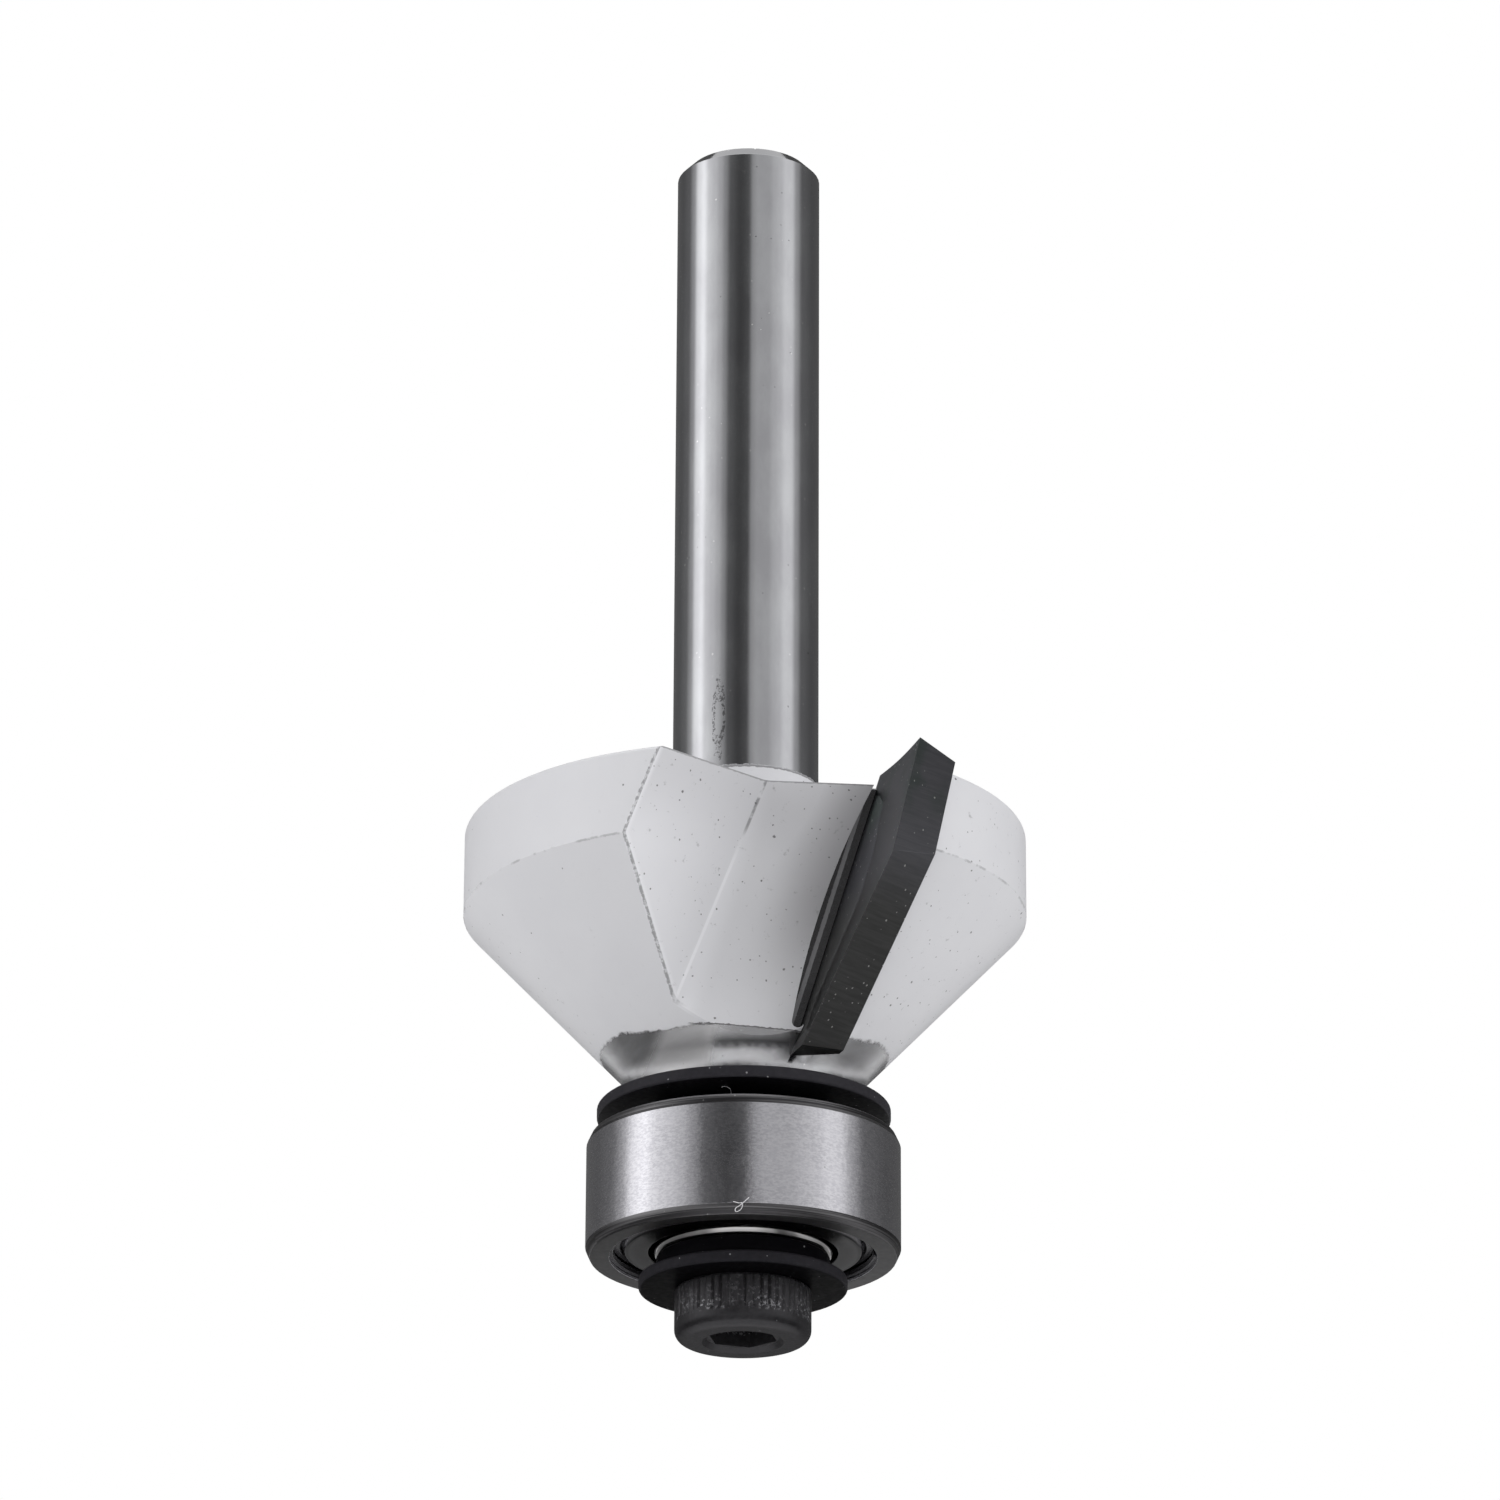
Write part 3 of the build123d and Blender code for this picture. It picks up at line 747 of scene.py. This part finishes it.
def nose_steel(m, steel, film):
    """The steel below the head: duller, with a film of dust and a shade under the gullets' feet."""
    streaks = m.noise(0.45, 4, 0.7, stretch=(0.6, 1, 1), coords=m.wrap)
    steel = m.tint(m.times(m.nose, m.ramp(streaks, 0.35, 0.65, 0.6, 0.2)), steel, NOSE_DULL)
    steel = m.tint(film, steel, NOSE_DUST)
    shade = m.times(m.nose, m.ramp(m.above_foot, *NOSE_SHADE_HEIGHTS), m.ramp(m.gullet, 0.9, 0.5))
    shade = m.times(shade, m.ramp(m.across, *NOSE_SHADE_ACROSS), 0.5)
    steel = m.tint(shade, steel, NOSE_SHADE)
    return m.tint(m.times(m.nose, m.specks(0.8, 0.08, 0.25, seed=8)), steel, NOSE_SPECK)


def groove_steel(m):
    """The groove's dark steel, with a lighter stripe along it and a painted shadow along its lip."""
    steel = m.between(m.mottle(m.rough), GROOVE_STEEL)
    stripe = m.within(m.sum(m.rake, m.times(m.wander, 0.3)), *GROOVE_STRIPE, 0.03)
    steel = m.tint(m.times(stripe, 0.9), steel, GROOVE_LIGHT)
    # Painted shadow along the groove's lip
    lip = m.ramp(m.less(m.floor, m.times(m.rough, 0.1)), 0.16, 0.1)
    return m.tint(m.times(lip, 0.9), steel, GROOVE_LIP_SHADOW)


def body_roughness(m, painted, cloud):
    bare = m.blend(m.nose, m.mottle(cloud, 0.09, 0.14), 0.26)
    bare = m.blend(m.ramp(m.z, *SHANK_FACE_FADE), bare, 0.5)
    return m.blend(painted, bare, 0.42)


def body_relief(m, painted, dark):
    """Waves in the paint, sunk along its worn lines and its painted crease shade; fine turning lines in the
    steel.
    """
    lines = m.noise(0.5, 4, 0.6, stretch=(0.1, 1, 3), coords=m.wrap)
    paint = m.sum(m.times(m.noise(0.9, 2), 0.4), m.less(1.0, dark))
    return m.bump(m.blend(painted, m.times(lines, 0.05), paint), 0.012)


def painted_body():
    """Grey-white satin paint on the head, with bare ground steel above and below it."""
    m = BodyMaterial("painted_body")
    groove = groove_zone(m)
    painted = m.times(paint_zone(m), m.less(1.0, groove))
    crease = crease_line(m)
    dark = dark_wear_and_shade(m, crease)
    # Painted highlights, then the dark lines: worn paint and painted shade in the crease
    paint = m.tint(painted_highlights(m, crease), paint_color(m), PAINT_HIGHLIGHT)
    paint = m.tint(dark, paint, DIRT_WEAR_AND_SHADE)
    cloud = m.noise(1.6, 4, 0.6, stretch=(1, 1, 0.4), coords=m.wrap)
    film = m.times(m.nose, m.within(m.across, *NOSE_FILM, 0.6), 0.5)
    steel = nose_steel(m, shank_steel(m, cloud), film)
    steel = m.mix(groove, steel, groove_steel(m))
    color = m.mix(painted, steel, paint)
    metallic = m.less(1.0, m.most(painted, film, m.times(groove, 0.85)))
    return m.finish(color, body_roughness(m, painted, cloud), metallic, body_relief(m, painted, dark))


def piece_from(form, name):
    """A new object from a bmesh form."""
    mesh = bpy.data.meshes.new(name)
    form.to_mesh(mesh)
    form.free()
    return link(bpy.data.objects.new(name, mesh))


def own_copy(node, name):
    """A copy of a CAD node's mesh as a piece of its own, welded, with whole flat faces."""
    form = bmesh.new()
    form.from_mesh(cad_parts[node].data)
    bmesh.ops.remove_doubles(form, verts=form.verts, dist=0.0005 * MM)
    bmesh.ops.dissolve_limit(form, angle_limit=math.radians(0.4), verts=form.verts, edges=form.edges)
    return piece_from(form, name)


def smooth(piece, angle=35):
    """Smooth shading, with the edges sharper than the angle kept crisp."""
    form = bmesh.new()
    form.from_mesh(piece.data)
    for face in form.faces:
        face.smooth = True
    for edge in form.edges:
        turn = edge.calc_face_angle(0) if len(edge.link_faces) == 2 else 0
        edge.smooth = turn < math.radians(angle)
    form.to_mesh(piece.data)
    form.free()


def round_edges(piece, width, angle=30, segments=3):
    bevel = piece.modifiers.new("edges", "BEVEL")
    bevel.width = width * MM
    bevel.segments = segments
    bevel.limit_method = "ANGLE"
    bevel.angle_limit = math.radians(angle)
    bevel.miter_outer = "MITER_ARC"
    even = piece.modifiers.new("shading", "WEIGHTED_NORMAL")
    even.keep_sharp = True


def place(piece, node, materials, slot, body):
    """Puts a piece in the place of a CAD node."""
    for material in materials:
        piece.data.materials.append(material)
    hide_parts(node)
    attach(piece, body)


def dress(node, material, slot, body, width):
    """A CAD node's form with its edges rounded by a width."""
    piece = own_copy(node, node + "_look")
    smooth(piece)
    round_edges(piece, width)
    place(piece, node, [material], slot, body)


def finish_node(node, material):
    """A CAD node that keeps its own mesh gets its material."""
    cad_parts[node].material_slots[0].material = material


def turned(name, rows, columns):
    """A closed form turned round Z. Rows are (radius, height); a radius may be a function of the angle."""
    form = bmesh.new()
    loops = []
    for radius, height in rows:
        if radius == 0:
            loops.append([form.verts.new((0, 0, height * MM))])
            continue
        loop = []
        for k in range(columns):
            angle = 2 * math.pi * k / columns
            r = radius(angle) if callable(radius) else radius
            loop.append(form.verts.new((r * math.cos(angle) * MM, r * math.sin(angle) * MM, height * MM)))
        loops.append(loop)
    for low, high in zip(loops, loops[1:]):
        for k in range(columns):
            after = k + 1
            below = [low[k % len(low)], low[after % len(low)]]
            above = [high[after % len(high)], high[k % len(high)]]
            form.faces.new(list(dict.fromkeys(below + above)))
    bmesh.ops.recalc_face_normals(form, faces=form.faces)
    return piece_from(form, name)


def hexagon(angle):
    """Radius of the socket's hexagon at an angle."""
    sixth = math.pi / 3
    return SOCKET_FLAT_R / math.cos(angle % sixth - sixth / 2)


def ribbed(depths, share):
    """Radius round the knurled head: flat ribs with a V groove between them."""

    def radius(angle):
        place_in_rib = angle / (2 * math.pi) * RIBS
        rib = int(place_in_rib + 1e-6)
        groove = max(0.0, 1 - abs(place_in_rib - rib - 0.5) * 4)
        return SCREW_HEAD_R - RIB_DEPTH * share * depths[rib % RIBS] * groove

    return radius


def thread(height):
    """Radius round the screw's thread at a height."""

    def radius(angle):
        phase = (height / THREAD_PITCH - angle / (2 * math.pi)) % 1
        return SCREW_R - THREAD_DEPTH * (1 - abs(2 * phase - 1))

    return radius


def socket_rows():
    """From the drill point in the hexagon socket out to its mouth."""
    corner_r = SOCKET_FLAT_R / math.cos(math.pi / 6)
    return [
        (0, SOCKET_DEPTH + SOCKET_FLAT_R / tangent(DRILL_ANGLE)),
        (SOCKET_FLAT_R, SOCKET_DEPTH),
        (hexagon, SOCKET_DEPTH),
        (hexagon, SOCKET_MOUTH),
        (corner_r + 0.01, SOCKET_MOUTH),
        (corner_r + SOCKET_MOUTH, 0),
    ]


def head_rows():
    """The head's rounded edge and its ribs, each with a depth of its own."""
    chance = random.Random(4)
    depths = [chance.uniform(0.25, 1.0) for rib in range(RIBS)]
    rows = []
    for step in range(SCREW_EDGE_STEPS + 1):
        t = math.pi / 2 * step / SCREW_EDGE_STEPS
        rows.append((SCREW_HEAD_R - SCREW_EDGE * (1 - math.sin(t)), SCREW_EDGE * (1 - math.cos(t))))
    rows += [(ribbed(depths, 0), RIB_FOOT - 0.04), (ribbed(depths, 0.7), RIB_FOOT + 0.04)]
    rows += [(ribbed(depths, 1), RIB_FOOT + 0.14), (ribbed(depths, 1), SCREW_HEAD_HEIGHT - 0.1)]
    rows += [(SCREW_HEAD_R - RIB_DEPTH, SCREW_HEAD_HEIGHT), (SCREW_R, SCREW_HEAD_HEIGHT)]
    return rows


def thread_rows():
    """The screw's plain neck, its thread and its end."""
    start = SCREW_HEAD_HEIGHT + THREAD_GAP
    stop = SCREW_END - THREAD_GAP
    count = round((stop - start) / THREAD_PITCH * THREAD_STEPS)
    rows = [(SCREW_R - THREAD_DEPTH / 2, start - 0.1)]
    for step in range(count + 1):
        height = start + (stop - start) * step / count
        rows.append((thread(height), height))
    rows += [(SCREW_R - THREAD_DEPTH, SCREW_END - 0.1), (SCREW_R - 1.2 * THREAD_DEPTH, SCREW_END)]
    rows.append((0, SCREW_END))
    return rows


def cap_screw():
    piece = turned("cap_screw_look", socket_rows() + head_rows() + thread_rows(), RIBS * RIB_STEPS)
    smooth(piece, 28)
    place(piece, "cap_screw", [screw_black()], "screw_black", "bit")


def rake_point(y, z):
    """The point of the rake plane at a Y and a height."""
    return Vector((RAKE_OFFSET + tangent(SHEAR) * (z - CORNER_Z), y, z)) * MM


def outline(node, corners, turn, sag):
    """Points round a face of a cutter, between the corners of the CAD node nearest to the named ones."""
    vertices = [turn.inverted() @ v.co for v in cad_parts[node].data.vertices]
    exact = [min(vertices, key=lambda v: (v - Vector(c) * MM).length) for c in corners]
    points = []
    for k, steps in enumerate(SIDE_STEPS):
        start = exact[k]
        end = exact[(k + 1) % len(exact)]
        for step in range(steps):
            share = step / steps
            point = start.lerp(end, share)
            if k == 0:
                point.z -= sag * MM * math.sin(math.pi * share)
            points.append(point)
    return points


def ruled(form, front, back):
    """A closed form between two outlines; gives its front face and that face's corners."""
    layers = []
    for row in range(THICKNESS_STEPS + 1):
        share = row / THICKNESS_STEPS
        layers.append([form.verts.new(a.lerp(b, share)) for a, b in zip(front, back)])
    for near, far in zip(layers, layers[1:]):
        for k in range(len(near)):
            after = (k + 1) % len(near)
            form.faces.new((near[k], near[after], far[after], far[k]))
    face = form.faces.new(layers[0])
    form.faces.new(reversed(layers[-1]))
    return face, layers[0]


def sink_field(form, rake, corners):
    """Splits the duller field off the rake face and sinks it a little."""
    ends = []
    for y, z in (FIELD_TOP, FIELD_FOOT):
        target = rake_point(y, z)
        ends.append(min(corners, key=lambda v: (v.co - target).length))
    path = [rake_point(y, z) for y, z in FIELD_LINE]
    halves = [rake, bmesh.utils.face_split(rake, ends[0], ends[1], coords=path)[0]]
    field = max(halves, key=lambda face: face.calc_center_median().y)
    bmesh.ops.recalc_face_normals(form, faces=form.faces)
    bmesh.ops.inset_region(form, faces=[field], thickness=FIELD_EDGE * MM, depth=-FIELD_SINK * MM)
    field.material_index = 1


def carbide_cutter(node, turn, ground, field_finish):
    """A cutter with its sides ruled between the two outlines, and a field sunk in the rake face."""
    form = bmesh.new()
    front = outline(node, RAKE_CORNERS, turn, TOP_SAG)
    back = outline(node, BACK_CORNERS, turn, BACK_SAG)
    rake, corners = ruled(form, front, back)
    sink_field(form, rake, corners)
    bmesh.ops.transform(form, matrix=turn.to_4x4(), verts=form.verts)
    piece = piece_from(form, node + "_look")
    smooth(piece, 20)
    round_edges(piece, CUTTER_EDGE, 25, 2)
    place(piece, node, [ground, field_finish], "carbide", "bit")


def make_body():
    dress("bit_body", painted_body(), "body_paint", "bit", BODY_EDGE)


def make_cutters():
    ground = carbide("carbide_ground", CARBIDE_GROUND, CARBIDE_GROUND_LOW, 0.34, 0.9)
    dull = carbide("carbide_field", CARBIDE_FIELD, CARBIDE_FIELD_LOW, 0.55, 0.2)
    carbide_cutter("front_cutter", Matrix.Identity(3), ground, dull)
    carbide_cutter("rear_cutter", Matrix.Rotation(math.pi, 3, "Z"), ground, dull)


def make_washers():
    # The washers' and spacers' black is partly painted shade of the gaps and undersides between the parts
    wide = black_oxide("washer_oxide", WASHER_BLACK, OXIDE_IOR, UPPER_RIM)
    dress("upper_washer", wide, "black_oxide", "bit", WASHER_EDGE)
    deep = black_oxide("spacer_oxide", SPACER_BLACK, OXIDE_IOR)
    for spacer in ("upper_spacer", "lower_spacer"):
        dress(spacer, deep, "black_oxide", "bit", WASHER_EDGE)
    rubbed_and_lit = black_oxide("lower_washer_oxide", LOWER_WASHER_BLACK, LOWER_WASHER_IOR, LOWER_RIM)
    dress("lower_washer", rubbed_and_lit, "black_oxide", "bit", LOWER_WASHER_EDGE)


def make_bearing():
    dress("inner_ring", ring_edge_steel(), "bearing_steel", "bit", INNER_RING_EDGE)
    dress("outer_ring", bearing_steel(), "bearing_steel", "outer_race", OUTER_RING_EDGE)
    pressed = pressed_steel()
    for end in ("lower", "upper"):
        dress(f"{end}_shield", pressed, "shield_steel", "outer_race", SHIELD_EDGE)
        dress(f"{end}_snap_ring", pressed, "shield_steel", "outer_race", SNAP_RING_EDGE)
        dress(f"cage_{end}", pressed, "shield_steel", "ball_set", CAGE_EDGE)
    bright = polished_steel()
    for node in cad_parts:
        if node.startswith("ball_"):
            finish_node(node, bright)


def fibre(name, radius, azimuth, height, body, points):
    """A piece of lint on a round piece, from points (along, up, out) from where it sits."""
    data = bpy.data.curves.new(name, "CURVE")
    data.dimensions = "3D"
    data.bevel_depth = LINT_R * MM
    data.bevel_resolution = 2
    data.use_fill_caps = True
    spline = data.splines.new("NURBS")
    spline.points.add(len(points) - 1)
    out = compass(azimuth)
    along = compass(azimuth + 90)
    for point, (a, up, away) in zip(spline.points, points):
        spot = out * (radius + away) + along * a + Vector((0, 0, height + up))
        point.co = (*(spot * MM), 1)
    spline.order_u = 3
    spline.use_endpoint_u = True
    lint = link(bpy.data.objects.new(name, data))
    m = Material(name + "_finish")
    data.materials.append(m.finish(m.between(m.noise(0.1, 2), LINT), 0.7))
    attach(lint, body)


def make_fibres():
    fibre("ring_lint", OUTER_R, CAMERA_AZIMUTH + RING_LINT_TURN, RING_LINT_Z, "outer_race", RING_LINT)
    turn = CAMERA_AZIMUTH + WASHER_LINT_TURN
    fibre("washer_lint", WASHER_LINT_R, turn, WASHER_UNDERSIDE - 0.02, "bit", WASHER_LINT)


def facing(back):
    """Turn of a camera or lamp that stands towards back from the object and looks at it."""
    return back.to_track_quat("Z", "Y").to_matrix().to_4x4()


def make_camera():
    back = compass(CAMERA_AZIMUTH, CAMERA_ELEVATION)
    data = bpy.data.cameras.new("camera")
    data.lens = CAMERA_LENS
    data.sensor_width = SENSOR_WIDTH
    data.clip_start, data.clip_end = CAMERA_CLIP
    camera = link(bpy.data.objects.new("camera", data))
    spot = Matrix.Translation((Vector(CAMERA_TARGET) + back * CAMERA_DISTANCE) * MM)
    roll = Matrix.Rotation(math.radians(CAMERA_ROLL), 4, "Z")
    camera.matrix_world = spot @ facing(back) @ roll
    bpy.context.scene.camera = camera


def make_world():
    """White where it is seen or mirrored, and a plain grey light elsewhere."""
    world = bpy.data.worlds.new("studio")
    bpy.context.scene.world = world
    bpy.context.scene.view_settings.view_transform = "Standard"
    world.use_nodes = True
    tree = world.node_tree
    tree.nodes.clear()
    path = tree.nodes.new("ShaderNodeLightPath")
    seen = path.outputs["Is Camera Ray"]
    for key in ("Is Glossy Ray", "Is Transmission Ray"):
        most = tree.nodes.new("ShaderNodeMath")
        most.operation = "MAXIMUM"
        tree.links.new(seen, most.inputs[0])
        tree.links.new(path.outputs[key], most.inputs[1])
        seen = most.outputs[0]
    level = tree.nodes.new("ShaderNodeMapRange")
    level.inputs["To Min"].default_value = AMBIENT_LEVEL
    level.inputs["To Max"].default_value = 1
    tree.links.new(seen, level.inputs["Value"])
    light = tree.nodes.new("ShaderNodeBackground")
    light.inputs["Color"].default_value = (1, 1, 1, 1)
    tree.links.new(level.outputs["Result"], light.inputs["Strength"])
    out = tree.nodes.new("ShaderNodeOutputWorld")
    tree.links.new(light.outputs[0], out.inputs["Surface"])


def ring_mesh(name, loops, segments=96):
    """A band of faces between two circles, each (radius, height), turned to the camera."""
    form = bmesh.new()
    rings = []
    for radius, height in loops:
        ring = []
        for k in range(segments):
            spot = compass(360 * k / segments) * radius
            ring.append(form.verts.new((spot.x * MM, spot.y * MM, height * MM)))
        rings.append(ring)
    for k in range(segments):
        after = (k + 1) % segments
        form.faces.new((rings[0][k], rings[1][k], rings[1][after], rings[0][after]))
    piece = piece_from(form, name)
    piece.rotation_euler = (0, 0, math.radians(CAMERA_AZIMUTH))
    return piece


def floor_finish():
    """Pale cloth that fades to white. It can't be seen from below, and lets light through right under
    the screw head, so that the head's lower face isn't black."""
    m = Material("floor")
    path = m.add("ShaderNodeLightPath").outputs
    seen = path["Is Camera Ray"]
    behind = m.add("ShaderNodeNewGeometry").outputs["Backfacing"]
    plain = (FLOOR_SHADE, FLOOR_SHADE, FLOOR_SHADE, 1)
    mirrored = m.mix(m.ramp(m.radius, *FLOOR_BANDS_FADE), m.bands(FLOOR_BANDS), plain)
    shade = m.mix(path["Is Glossy Ray"], plain, mirrored)
    cloth = m.add("ShaderNodeBsdfDiffuse", {"Color": shade}).outputs[0]
    white = m.add("ShaderNodeEmission", {"Color": (1, 1, 1, 1), "Strength": 1}).outputs[0]
    clear = m.add("ShaderNodeBsdfTransparent").outputs[0]
    away = m.times(m.most(seen, path["Is Glossy Ray"]), m.ramp(m.radius, *FLOOR_FADE))
    shown = m.add("ShaderNodeMixShader", {0: away, 1: cloth, 2: white}).outputs[0]
    under_head = m.times(m.less(1.0, seen), m.math("LESS_THAN", m.radius, FLOOR_OPEN))
    open_part = m.most(m.times(seen, behind), under_head)
    return m.surface(m.add("ShaderNodeMixShader", {0: open_part, 1: shown, 2: clear}))


def make_floor():
    floor = ring_mesh("floor", [(FLOOR_CORE, 0), (FLOOR_RADIUS, 0)])
    floor.data.materials.append(floor_finish())


def surround_glow():
    m = Material("surround")
    m.material.cycles.emission_sampling = "NONE"
    return m.surface(m.add("ShaderNodeEmission", {"Color": m.bands(SURROUND_BANDS), "Strength": 1}))


def make_surround():
    """Panels and flags round the set, which only mirror-like surfaces show."""
    low, high = SURROUND_HEIGHTS
    wall = ring_mesh("surround", [(SURROUND_RADIUS, low), (SURROUND_RADIUS, high)])
    wall.visible_camera = False
    wall.visible_diffuse = False
    wall.visible_shadow = False
    wall.data.materials.append(surround_glow())


def softbox(name, azimuth, elevation, distance, width, height, radiance):
    """Soft lamp; its azimuth is in degrees to the right of the camera."""
    data = bpy.data.lights.new(name, "AREA")
    data.shape = "RECTANGLE"
    data.size = width * MM
    data.size_y = height * MM
    data.energy = radiance * math.pi * data.size * data.size_y
    lamp = link(bpy.data.objects.new(name, data))
    back = compass(CAMERA_AZIMUTH + azimuth, elevation)
    lamp.matrix_world = Matrix.Translation(back * distance * MM) @ facing(back)
    lamp.visible_camera = False
    lamp.visible_glossy = False


def make_lamps():
    for name, values in LAMPS.items():
        softbox(name, *values)


make_camera()
make_world()
make_floor()
make_surround()
make_lamps()

make_body()
make_cutters()
make_washers()
cap_screw()
make_bearing()
make_fibres()
